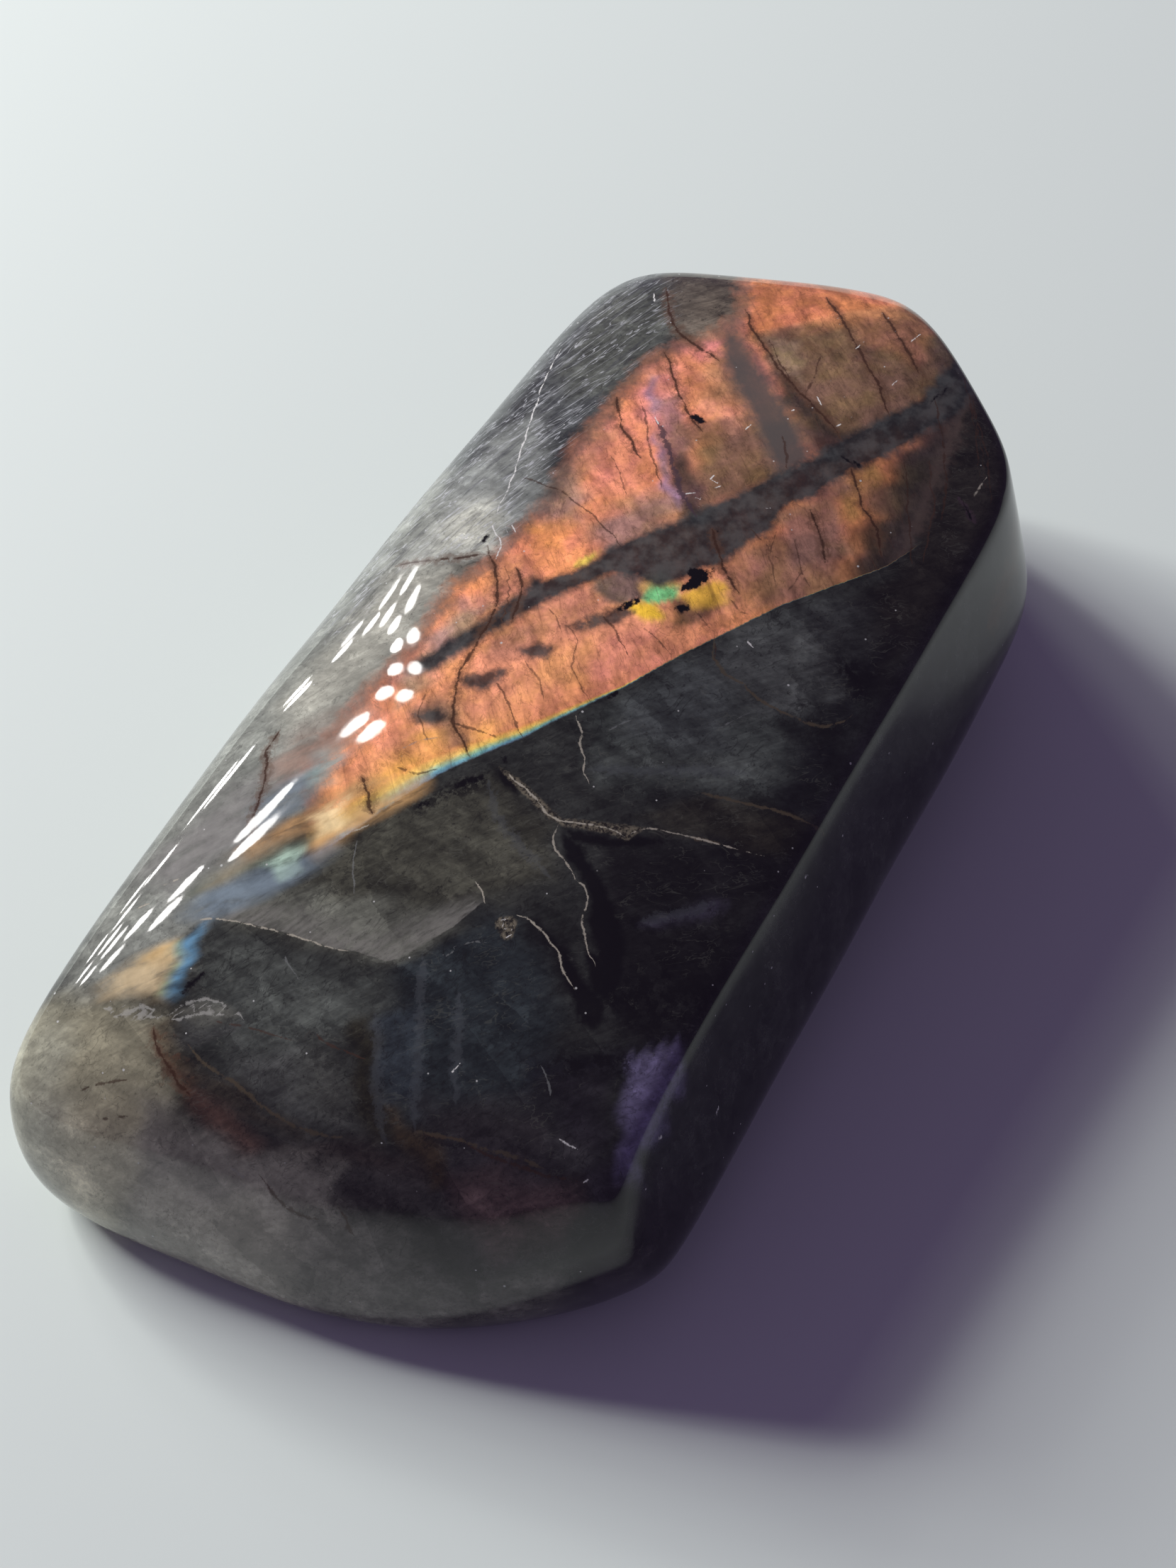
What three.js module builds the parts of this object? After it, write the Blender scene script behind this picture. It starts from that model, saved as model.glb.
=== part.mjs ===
// A polished labradorite freeform: one solid stone, ground flat underneath so that it rests by itself.
// Millimetres, +Z up, long axis along X with the narrow end at +X.
import * as THREE from "three";
import { mergeVertices } from "three/addons/utils/BufferGeometryUtils.js";

// height above the flat base of the point that the ground facets are measured from
const CENTRE_HEIGHT = 13;
// how tightly the polish rounds the edges between facets: a higher power leaves tighter edges
const EDGE_POWER = 16;
// facets ground last meet the rest in crisp creases
const CREASE_POWER = 40;
// half sizes of the ellipsoid that spreads the mesh points evenly over the stone
const SPREAD = new THREE.Vector3(48, 24, 13);
// each side of the starting icosahedron is cut into this many pieces, and one more
const MESH_DETAIL = 20;
const WELD_DISTANCE = 1e-5;

// ground facets: azimuth from +X toward +Y, rise above the horizontal, and reach from the centre
const BLOCK_FACETS = [
  { name: "top, left side", azimuth: 90, rise: 84, reach: 13.1 },
  { name: "top, right side", azimuth: -108, rise: 76, reach: 13.05 },
  { name: "top, broad end", azimuth: 170, rise: 74, reach: 13.9 },
  { name: "underside", azimuth: 0, rise: -90, reach: 14.2 },
  { name: "left flank", azimuth: 88, rise: -3, reach: 22.25 },
  { name: "left slope", azimuth: 118, rise: 68.5, reach: 15.65 },
  { name: "left bevel", azimuth: 90, rise: 45, reach: 20.9 },
  { name: "narrow end", azimuth: 15, rise: 0, reach: 50 },
  { name: "narrow end, left corner", azimuth: 36, rise: 9, reach: 49.2 },
  { name: "narrow end, bevel", azimuth: 12, rise: 54, reach: 37.9 },
  { name: "broad end, foot", azimuth: 184, rise: -7, reach: 45.2 },
  { name: "broad end, right corner", azimuth: -136, rise: -13, reach: 38.8 },
  { name: "broad end, left corner", azimuth: 140, rise: 1, reach: 49.5 },
  { name: "broad end, ramp", azimuth: -166, rise: 36, reach: 29.95 },
  { name: "broad end, left bevel", azimuth: 147, rise: 48, reach: 37.6 },
  { name: "under edge, left", azimuth: 90, rise: -44, reach: 24.85 },
  { name: "under edge, broad end", azimuth: 186, rise: -65, reach: 31.2 },
  { name: "under edge, narrow end", azimuth: 0, rise: -45, reach: 43.6 },
];

const LAST_FACETS = [
  { name: "right flank", azimuth: -92, rise: 18.5, reach: 21.95 },
  { name: "narrow end, right corner", azimuth: -40, rise: 11, reach: 42 },
  { name: "under edge, right", azimuth: -84, rise: -49, reach: 20.35 },
];

// slow waves that hand polishing leaves: height in mm, radians per mm along each axis, and phase
const WAVES = [
  { height: 0.05, along: new THREE.Vector3(0.31, 0.17, 0.05), phase: 0.4 },
  { height: 0.04, along: new THREE.Vector3(-0.19, 0.36, 0.2), phase: 1.9 },
  { height: 0.03, along: new THREE.Vector3(0.12, 0.44, -0.3), phase: 4.1 },
];

// a shallow groove across the left corner of the broad end, from the flank in toward the top
const GROOVE = {
  middle: new THREE.Vector3(-33.7, 13.3, 4),
  along: new THREE.Vector3(0.31, -0.94, 0.14).normalize(),
  halfLength: 5.5,
  halfWidth: 1.6,
  depth: 0.3,
};

const STONE_COLOUR = 0x3b3c40;
const POLISH_ROUGHNESS = 0.05;

function facetNormal({ azimuth, rise }) {
  const turn = THREE.MathUtils.degToRad(azimuth);
  const lift = THREE.MathUtils.degToRad(rise);
  return new THREE.Vector3(
    Math.cos(turn) * Math.cos(lift),
    Math.sin(turn) * Math.cos(lift),
    Math.sin(lift),
  );
}

function readyFacet(facet) {
  return { normal: facetNormal(facet), reach: facet.reach };
}

const BLOCK = BLOCK_FACETS.map(readyFacet);
const LAST = LAST_FACETS.map(readyFacet);

// one over the distance from the centre to a group of facets, rounded together, along a unit direction
function gauge(direction, facets) {
  const total = facets.reduce((sum, { normal, reach }) => {
    const share = Math.max(0, direction.dot(normal) / reach);
    return sum + share ** EDGE_POWER;
  }, 0);
  return total ** (1 / EDGE_POWER);
}

// distance from the centre to the rounded stone along a unit direction
function blockReach(direction) {
  const block = gauge(direction, BLOCK) ** CREASE_POWER;
  const last = gauge(direction, LAST) ** CREASE_POWER;
  return (block + last) ** (-1 / CREASE_POWER);
}

function waveHeight(point) {
  return WAVES.reduce(
    (sum, { height, along, phase }) =>
      sum + height * Math.sin(along.dot(point) + phase),
    0,
  );
}

function grooveDepth(point) {
  const offset = point.clone().sub(GROOVE.middle);
  const lengthwise = offset.dot(GROOVE.along);
  const across = Math.sqrt(Math.max(0, offset.lengthSq() - lengthwise ** 2));
  const fade =
    (lengthwise / GROOVE.halfLength) ** 2 + (across / GROOVE.halfWidth) ** 2;
  return GROOVE.depth * Math.exp(-fade);
}

// the stone's surface along a unit direction, measured from the centre
function surfacePoint(direction) {
  const block = blockReach(direction);
  const point = direction.clone().multiplyScalar(block);
  const worn = block + waveHeight(point) - grooveDepth(point);
  const toBase =
    direction.z < 0 ? CENTRE_HEIGHT / -direction.z : Number.POSITIVE_INFINITY;
  return direction.clone().multiplyScalar(Math.min(worn, toBase));
}

function stoneGeometry() {
  const sphere = new THREE.IcosahedronGeometry(1, MESH_DETAIL);
  sphere.deleteAttribute("normal");
  sphere.deleteAttribute("uv");
  const geometry = mergeVertices(sphere, WELD_DISTANCE);
  const positions = geometry.getAttribute("position");
  const direction = new THREE.Vector3();
  for (let i = 0; i < positions.count; i++) {
    direction.fromBufferAttribute(positions, i).multiply(SPREAD).normalize();
    const point = surfacePoint(direction);
    positions.setXYZ(i, point.x, point.y, point.z + CENTRE_HEIGHT);
  }
  geometry.computeBoundingBox();
  const middle = geometry.boundingBox.getCenter(new THREE.Vector3());
  geometry.translate(-middle.x, -middle.y, -geometry.boundingBox.min.z);
  geometry.computeVertexNormals();
  return geometry;
}

function stoneMaterial() {
  return new THREE.MeshStandardMaterial({
    name: "stone",
    color: STONE_COLOUR,
    roughness: POLISH_ROUGHNESS,
    metalness: 0,
  });
}

function polishedStone() {
  const stone = new THREE.Mesh(stoneGeometry(), stoneMaterial());
  stone.name = "labradorite";
  return stone;
}

const model = new THREE.Group();
model.add(polishedStone());

export default model;
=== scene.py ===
"""Looks of the polished labradorite freeform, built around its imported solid."""
import math

import bmesh
import bpy
import numpy as np
from mathutils import Matrix, Vector
from mathutils.bvhtree import BVHTree


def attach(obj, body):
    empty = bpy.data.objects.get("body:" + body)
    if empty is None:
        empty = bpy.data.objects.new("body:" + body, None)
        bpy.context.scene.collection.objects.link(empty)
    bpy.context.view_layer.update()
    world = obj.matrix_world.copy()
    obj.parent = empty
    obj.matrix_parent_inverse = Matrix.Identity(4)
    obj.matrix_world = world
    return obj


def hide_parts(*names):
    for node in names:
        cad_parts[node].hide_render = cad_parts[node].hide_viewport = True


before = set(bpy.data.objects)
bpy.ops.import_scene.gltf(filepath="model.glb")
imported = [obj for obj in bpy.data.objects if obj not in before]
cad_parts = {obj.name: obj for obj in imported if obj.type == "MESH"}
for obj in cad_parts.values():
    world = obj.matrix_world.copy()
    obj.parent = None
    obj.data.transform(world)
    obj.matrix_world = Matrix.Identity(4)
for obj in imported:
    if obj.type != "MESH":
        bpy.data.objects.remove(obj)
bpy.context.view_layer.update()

MM = 0.001

# the stone's form, in millimetres, from the same named values as its solid: facets have a name, the
# azimuth and rise of their normal in degrees, and their distance from the centre
CENTRE_HEIGHT = 13.0
# how crisply facets meet: the higher the power, the less their edge is rounded
EDGE_POWER = 16
CREASE_POWER = 40
# half sizes of the box whose lattice is carried onto the stone
SPREAD = np.array([48.0, 24.0, 13.0])
BLOCK_FACETS = [
    ("top, left side", 90, 84, 13.1),
    ("top, right side", -108, 76, 13.05),
    ("top, broad end", 170, 74, 13.9),
    ("underside", 0, -90, 14.2),
    ("left flank", 88, -3, 22.25),
    ("left slope", 118, 68.5, 15.65),
    ("left bevel", 90, 45, 20.9),
    ("narrow end", 15, 0, 50.0),
    ("narrow end, left corner", 36, 9, 49.2),
    ("narrow end, bevel", 12, 54, 37.9),
    ("broad end, foot", 184, -7, 45.2),
    ("broad end, right corner", -136, -13, 38.8),
    ("broad end, left corner", 140, 1, 49.5),
    ("broad end, ramp", -166, 36, 29.95),
    ("broad end, left bevel", 147, 48, 37.6),
    ("under edge, left", 90, -44, 24.85),
    ("under edge, broad end", 186, -65, 31.2),
    ("under edge, narrow end", 0, -45, 43.6),
]
LAST_FACETS = [
    ("right flank", -92, 18.5, 21.95),
    ("narrow end, right corner", -40, 11, 42.0),
    ("under edge, right", -84, -49, 20.35),
]
# polish waves: height, wave number along each axis, and phase
WAVES = [
    (0.05, (0.31, 0.17, 0.05), 0.4),
    (0.04, (-0.19, 0.36, 0.2), 1.9),
    (0.03, (0.12, 0.44, -0.3), 4.1),
]
# shallow groove across the left corner of the broad end
GROOVE_MIDDLE = np.array([-33.7, 13.3, 4.0])
GROOVE_ALONG = np.array([0.31, -0.94, 0.14])
GROOVE_HALF_LENGTH = 5.5
GROOVE_HALF_WIDTH = 1.6
GROOVE_DEPTH = 0.3
# lattice cells along the stone, across it and up it
CELLS = (282, 138, 54)
# faces that meet at more than this many degrees keep a sharp edge
SHARP_ANGLE = 25
# a height in metres that only the flat base is under
BASE_HEIGHT = 1e-6

# the camera, as the photograph was taken: the picture's size and the focal length in pixels, angles in
# degrees, lengths in millimetres
PICTURE = (1659, 2212)
FOCAL_PIXELS = 3200.0
SENSOR = 36.0
ELEVATION = 54.0
HEADING = 61.0
DISTANCE = 176.0
TARGET = np.array([-1.6, 0.15, 10.0])
# what the camera can see, in metres
NEAREST = 0.01
FARTHEST = 20


def facet_normal(azimuth, rise):
    turn = math.radians(azimuth)
    lift = math.radians(rise)
    return np.array([math.cos(turn) * math.cos(lift), math.sin(turn) * math.cos(lift), math.sin(lift)])


def gauge(directions, facets):
    """One over the distance to a group of facets, rounded together, along each unit direction."""
    total = np.zeros(len(directions))
    for _, azimuth, rise, reach in facets:
        share = np.maximum(0, directions @ facet_normal(azimuth, rise) / reach)
        total += share ** EDGE_POWER
    return total ** (1 / EDGE_POWER)


def block_reach(directions):
    """Distance to the rounded stone: the facets ground last meet the rest in crisp creases."""
    block = gauge(directions, BLOCK_FACETS) ** CREASE_POWER
    last = gauge(directions, LAST_FACETS) ** CREASE_POWER
    return (block + last) ** (-1 / CREASE_POWER)


def wave_height(points):
    return sum(height * np.sin(points @ np.array(along) + phase) for height, along, phase in WAVES)


def groove_depth(points):
    along = GROOVE_ALONG / np.linalg.norm(GROOVE_ALONG)
    offset = points - GROOVE_MIDDLE
    lengthwise = offset @ along
    across_squared = np.maximum(0, (offset ** 2).sum(1) - lengthwise ** 2)
    fade = (lengthwise / GROOVE_HALF_LENGTH) ** 2 + across_squared / GROOVE_HALF_WIDTH ** 2
    return GROOVE_DEPTH * np.exp(-fade)


def surface_points(directions):
    block = block_reach(directions)
    points = directions * block[:, None]
    worn = block + wave_height(points) - groove_depth(points)
    down = np.maximum(1e-9, -directions[:, 2])
    to_base = np.where(directions[:, 2] < 0, CENTRE_HEIGHT / down, np.inf)
    return directions * np.minimum(worn, to_base)[:, None]


def lattice():
    """Unit directions and quads of a box lattice, which spread evenly over the block."""
    nx, ny, nz = CELLS
    i, j, k = np.meshgrid(np.arange(nx + 1), np.arange(ny + 1), np.arange(nz + 1), indexing="ij")
    shell = (i % nx == 0) | (j % ny == 0) | (k % nz == 0)
    index = np.full(shell.shape, -1)
    index[shell] = np.arange(shell.sum())
    corners = np.stack([i[shell], j[shell], k[shell]], 1) / np.array(CELLS) * 2 - 1
    directions = corners * SPREAD
    directions /= np.linalg.norm(directions, axis=1)[:, None]
    quads = []
    for side, outward in (
        (index[:, :, 0], False), (index[:, :, -1], True),
        (index[:, 0, :], True), (index[:, -1, :], False),
        (index[0, :, :], False), (index[-1, :, :], True),
    ):
        ring = [side[:-1, :-1], side[1:, :-1], side[1:, 1:], side[:-1, 1:]]
        if not outward:
            ring.reverse()
        quads.append(np.stack([r.ravel() for r in ring], 1))
    return directions, np.concatenate(quads)


def stone_mesh():
    directions, quads = lattice()
    points = surface_points(directions)
    points[:, 2] += CENTRE_HEIGHT
    middle = (points.min(0) + points.max(0)) / 2
    points[:, :2] -= middle[:2]
    mesh = bpy.data.meshes.new("stone")
    mesh.from_pydata((points * MM).tolist(), [], quads.tolist())
    work = bmesh.new()
    work.from_mesh(mesh)
    flat = [f for f in work.faces if all(v.co.z < BASE_HEIGHT for v in f.verts)]
    bmesh.ops.dissolve_faces(work, faces=flat)
    work.to_mesh(mesh)
    work.free()
    mesh.shade_smooth()
    mesh.set_sharp_from_angle(angle=math.radians(SHARP_ANGLE))
    return mesh


def camera_axes():
    heading = math.radians(HEADING)
    lift = math.radians(ELEVATION)
    right = np.array([math.cos(heading), -math.sin(heading), 0.0])
    away = np.array([math.sin(heading), math.cos(heading), 0.0])
    up = np.array([0.0, 0.0, 1.0])
    forward = away * math.cos(lift) - up * math.sin(lift)
    above = away * math.sin(lift) + up * math.cos(lift)
    return right, above, forward


def make_camera():
    right, above, forward = camera_axes()
    eye = (TARGET - forward * DISTANCE) * MM
    data = bpy.data.cameras.new("camera")
    data.sensor_width = SENSOR
    data.lens = FOCAL_PIXELS * SENSOR / PICTURE[1]
    data.clip_start = NEAREST
    data.clip_end = FARTHEST
    camera = bpy.data.objects.new("camera", data)
    rotation = Matrix((right, above, -forward)).transposed().to_4x4()
    camera.matrix_world = Matrix.Translation(Vector(eye)) @ rotation
    bpy.context.scene.collection.objects.link(camera)
    bpy.context.scene.camera = camera


# the pale surface under the stone: half its width in metres, its colour and roughness
FLOOR_HALF = 3.0
FLOOR_COLOUR = (0.70, 0.775, 0.74, 1)
FLOOR_ROUGHNESS = 0.5


def make_floor():
    mesh = bpy.data.meshes.new("floor")
    corners = [(FLOOR_HALF * x, FLOOR_HALF * y, 0) for x, y in ((-1, -1), (1, -1), (1, 1), (-1, 1))]
    mesh.from_pydata(corners, [], [(0, 1, 2, 3)])
    floor = bpy.data.objects.new("floor", mesh)
    bpy.context.scene.collection.objects.link(floor)
    material = bpy.data.materials.new("floor")
    material.use_nodes = True
    shader = material.node_tree.nodes["Principled BSDF"]
    shader.inputs["Base Color"].default_value = FLOOR_COLOUR
    shader.inputs["Roughness"].default_value = FLOOR_ROUGHNESS
    mesh.materials.append(material)


# rings of lamps: middle in the picture's floor axes (right, away, up) from the target, radius of the
# ring, how many lamps, radius of a lamp, with lengths in millimetres, and watts of a lamp
MIRRORED_RINGS = [
    ((-560.0, 520.0, 500.0), 240.0, 17, 19.0, 0.075),
    ((-560.0, 520.0, 500.0), 190.0, 17, 19.0, 0.075),
]
SOFT_RING = ((-565.0, 410.0, 430.0), 140.0, 12, 40.0, 0.68)
LAMP_COLOUR = (1.0, 0.985, 0.96)
# weak violet light of the room, which colours the shadow
ROOM_COLOUR = (0.105, 0.076, 0.145, 1)


def picture_axes_point(right_away_up):
    right, _, _ = camera_axes()
    away = np.array([-right[1], right[0], 0.0])
    r, a, u = right_away_up
    return TARGET + right * r + away * a + np.array([0, 0, u])


def add_lamp(name, place, radius, watts):
    data = bpy.data.lights.new(name, "AREA")
    data.shape = "DISK"
    data.size = 2 * radius * MM
    data.energy = watts
    data.color = LAMP_COLOUR
    lamp = bpy.data.objects.new(name, data)
    rotation = Vector(TARGET - place).to_track_quat("-Z", "Y").to_matrix().to_4x4()
    lamp.matrix_world = Matrix.Translation(Vector(place * MM)) @ rotation
    bpy.context.scene.collection.objects.link(lamp)
    return lamp


def add_ring(name, ring):
    place, radius, count, lamp_radius, watts = ring
    middle = picture_axes_point(place)
    aim = TARGET - middle
    aim /= np.linalg.norm(aim)
    side = np.cross(aim, [0, 0, 1.0])
    side /= np.linalg.norm(side)
    top = np.cross(side, aim)
    turns = [2 * math.pi * i / count for i in range(count)]
    offsets = [radius * (math.cos(turn) * side + math.sin(turn) * top) for turn in turns]
    return [add_lamp(name, middle + offset, lamp_radius, watts) for offset in offsets]


def make_lights():
    """Two rings of small lamps that the polish mirrors as dots, a soft ring, and the room's light."""
    for ring in MIRRORED_RINGS:
        add_ring("ring_lamp", ring)
    for lamp in add_ring("soft_lamp", SOFT_RING):
        lamp.visible_glossy = False
    world = bpy.data.worlds.new("room")
    world.use_nodes = True
    world.node_tree.nodes["Background"].inputs["Color"].default_value = ROOM_COLOUR
    bpy.context.scene.world = world


# Markings, traced over the photograph, in its pixels. Each is carried down onto the stone's top.

# lower edge of the colour play, from the right end to the left: sharp, with a spectrum along its left part
LOWER_EDGE = [
    (1500, 700), (1250, 800), (1100, 855), (950, 930), (880, 970), (740, 1040), (620, 1092), (560, 1130),
    (450, 1206), (60, 1390),
]
FLASH = [
    (1052, 440), (1050, 370), (1200, 380), (1360, 470), (1385, 556), (1335, 636), (1270, 790), (1200, 900),
    (1000, 1000), (560, 1200), (480, 1230), (450, 1160), (440, 1080), (500, 1000), (590, 905), (640, 830),
    (690, 800), (784, 698), (820, 626), (916, 512), (955, 492), (1000, 480),
]
# straight grey band across the colour play, parallel to its lower edge
BAND = [
    (1400, 525), (1300, 566), (1200, 614), (1150, 646), (1100, 668), (1040, 700), (1000, 716), (950, 740),
    (858, 774), (846, 790), (800, 810), (768, 820), (752, 818), (745, 832), (705, 857), (690, 872),
    (575, 945), (605, 946), (770, 846), (865, 806), (900, 812), (930, 828), (965, 815), (985, 800),
    (1015, 795), (1050, 768), (1085, 748), (1105, 712), (1150, 700), (1175, 678), (1200, 664), (1235, 650),
    (1275, 628), (1310, 605), (1350, 585), (1410, 560),
]
# grey patches of a second, broken band below the first
BAND_SCRAPS = [
    [(735, 915), (760, 905), (785, 912), (775, 928), (745, 928)],
    [(650, 955), (690, 945), (720, 945), (705, 958), (680, 973), (655, 968)],
    [(800, 882), (870, 857), (898, 862), (870, 880), (805, 892)],
    [(580, 1008), (610, 1000), (640, 1006), (625, 1020), (590, 1020)],
]
# shaded arm that runs up from the band to the narrow end
ARM = [
    (995, 380), (1030, 380), (1045, 470), (1112, 575), (1150, 650), (1096, 676), (1078, 630), (1034, 545),
    (1016, 500),
]
# black knots and slits
INCLUSIONS = [
    [(972, 590), (978, 582), (992, 588), (997, 597), (985, 598)],
    [(1182, 642), (1210, 652), (1222, 654), (1212, 660), (1186, 648)],
    [(1308, 568), (1340, 542), (1336, 552), (1310, 572)],
    [
        (965, 808), (975, 800), (995, 803), (1015, 800), (990, 818), (975, 832), (958, 836), (962, 826),
        (975, 815),
    ],
    [(868, 860), (880, 850), (895, 843), (908, 842), (900, 852), (885, 860), (872, 864)],
    [(950, 856), (960, 850), (972, 852), (974, 860), (962, 866), (952, 864)],
    [(960, 826), (972, 818), (1008, 808), (1002, 820), (984, 830), (966, 836)],
    [(1008, 744), (1016, 748), (1012, 753)],
    [(1192, 934), (1216, 960), (1218, 978), (1210, 968), (1198, 958), (1190, 946)],
    [(862, 975), (878, 973), (872, 982), (850, 990)],
    [(910, 957), (922, 948), (916, 958)],
    [(706, 1066), (716, 1064), (716, 1076), (708, 1076)],
    [(575, 1142), (596, 1130), (612, 1126), (606, 1136), (590, 1141)],
    [(640, 1106), (660, 1096), (682, 1092), (684, 1102), (664, 1106), (646, 1114)],
    [(250, 1403), (276, 1376), (292, 1367), (288, 1378), (260, 1404)],
    [(820, 1434), (832, 1430), (838, 1436), (828, 1440)],
    [(930, 1374), (940, 1364), (944, 1374), (954, 1382), (942, 1384), (934, 1390)],
    [(1355, 702), (1362, 712), (1376, 738), (1368, 732), (1358, 716)],
    [(676, 768), (680, 758), (690, 750), (692, 756), (684, 766)],
]
# dark wedges along the cracks of the lower half
WEDGES = [
    [
        (752, 1300), (800, 1340), (812, 1364), (830, 1390), (850, 1410), (856, 1440), (836, 1452),
        (818, 1440), (806, 1412), (790, 1352),
    ],
    [(795, 1166), (870, 1184), (905, 1180), (960, 1188), (900, 1196), (840, 1194), (806, 1188)],
    [
        (794, 1176), (816, 1190), (850, 1240), (874, 1300), (882, 1340), (878, 1384), (860, 1404),
        (848, 1370), (832, 1300), (834, 1270), (822, 1246), (792, 1200),
    ],
    [(690, 1080), (710, 1086), (735, 1105), (730, 1125), (705, 1105)],
    [(826, 1340), (850, 1350), (866, 1380), (856, 1410), (836, 1400), (828, 1370)],
]
# blotched black zones
BLOTCHES = [
    [
        (850, 1385), (900, 1372), (960, 1392), (1010, 1400), (1000, 1440), (940, 1462), (880, 1440),
        (850, 1415),
    ],
    [(770, 1500), (800, 1482), (850, 1478), (905, 1490), (900, 1512), (800, 1522), (775, 1514)],
    [(575, 1140), (660, 1094), (690, 1090), (690, 1110), (590, 1150)],
    [(1180, 930), (1210, 930), (1226, 960), (1222, 990), (1200, 975), (1180, 950)],
]
# crushed gold-grey rubble along the main crack
RUBBLE = [
    (702, 1080), (722, 1092), (745, 1110), (790, 1154), (910, 1168), (884, 1186), (862, 1177), (795, 1165),
    (770, 1152), (716, 1098),
]
# chips at the end of a crack
CHIPS = [
    (698, 1300), (706, 1294), (720, 1292), (729, 1298), (727, 1312), (722, 1324), (710, 1326), (702, 1314),
]
# a cleavage plane under the surface that catches the light along its hard lower edge
PLANE_EDGE = [
    (255, 1302), (300, 1295), (335, 1300), (410, 1318), (470, 1339), (500, 1342), (545, 1357), (565, 1352),
    (640, 1308), (680, 1274),
]
PLANE_SIDE = [
    (900, 1150), (800, 1000), (300, 1100), (150, 1250),
]
PLANE = [
    (262, 1330), (262, 1296), (320, 1276), (420, 1268), (500, 1284), (600, 1284), (668, 1262), (690, 1280),
    (650, 1340), (560, 1400), (400, 1370),
]
# brushed haze on the left bevel
HAZE = [
    (950, 398), (945, 450), (890, 520), (850, 560), (780, 665), (750, 700), (735, 740), (700, 778),
    (620, 786), (560, 806), (480, 900), (440, 900), (560, 740), (720, 560), (820, 420), (880, 380),
]
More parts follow.
